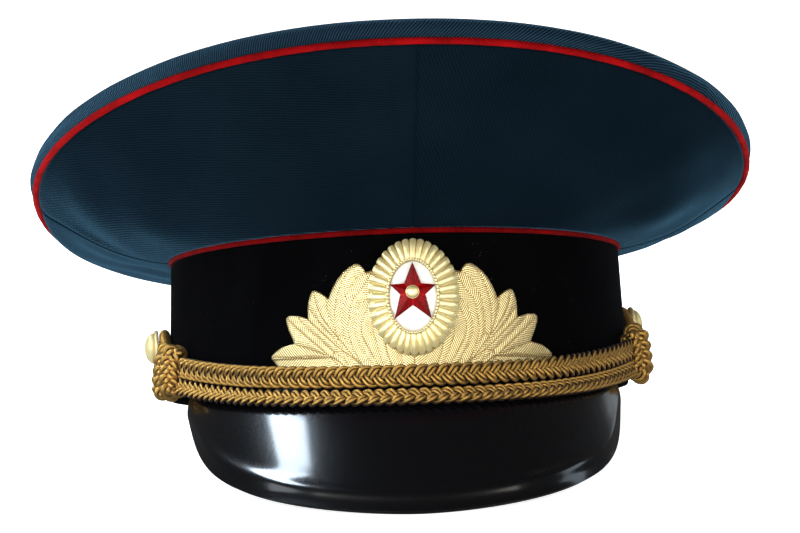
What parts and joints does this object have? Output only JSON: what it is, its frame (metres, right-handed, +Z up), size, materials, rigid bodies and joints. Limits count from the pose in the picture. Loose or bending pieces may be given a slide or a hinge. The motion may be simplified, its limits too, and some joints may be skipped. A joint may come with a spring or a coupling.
{
  "type": "visor cap",
  "caption": "Peaked officer's cap with a wide sloping crown, piped seams, velvet band, glossy visor, plaited gold chin cords and a gold leaf badge with a star.",
  "frame": {"origin": "on the floor, under the middle of the cap's bounding box, with the cap standing by itself on the front of its visor and the rear of its band", "axes": "+Z up, -Y towards the front (the visor and the badge), +X towards the viewer's right when the badge is seen from the front"},
  "size_m": [0.2776, 0.3038, 0.1672],
  "materials": {
    "teal_twill": "wool twill",
    "red_felt": "felt-covered piping",
    "black_velvet": "short cotton velvet",
    "black_lacquer": "high-gloss lacquer on fibre",
    "gold_bullion": "plaited gilt wire cord",
    "bright_brass": "stamped, bright gilt",
    "white_enamel": "glossy enamel",
    "red_enamel": "translucent glossy enamel"
  },
  "bodies": {
    "root": {"band": "black_velvet", "band_piping": "red_felt", "visor": "black_lacquer", "crown_front_left": "teal_twill", "crown_front_right": "teal_twill", "crown_rear_left": "teal_twill", "crown_rear_right": "teal_twill", "crown_top": "teal_twill", "crown_piping": "red_felt", "chin_cord_upper": "gold_bullion", "chin_cord_lower": "gold_bullion", "knot_left": "gold_bullion", "knot_right": "gold_bullion", "cord_loop_left": "gold_bullion", "cord_loop_right": "gold_bullion", "button_left": "bright_brass", "button_right": "bright_brass", "badge_wreath": "bright_brass", "badge_cockade": "bright_brass", "badge_bead_rim": "bright_brass", "badge_enamel": "white_enamel", "badge_star": "red_enamel", "badge_boss": "bright_brass"}
  },
  "joints": []
}
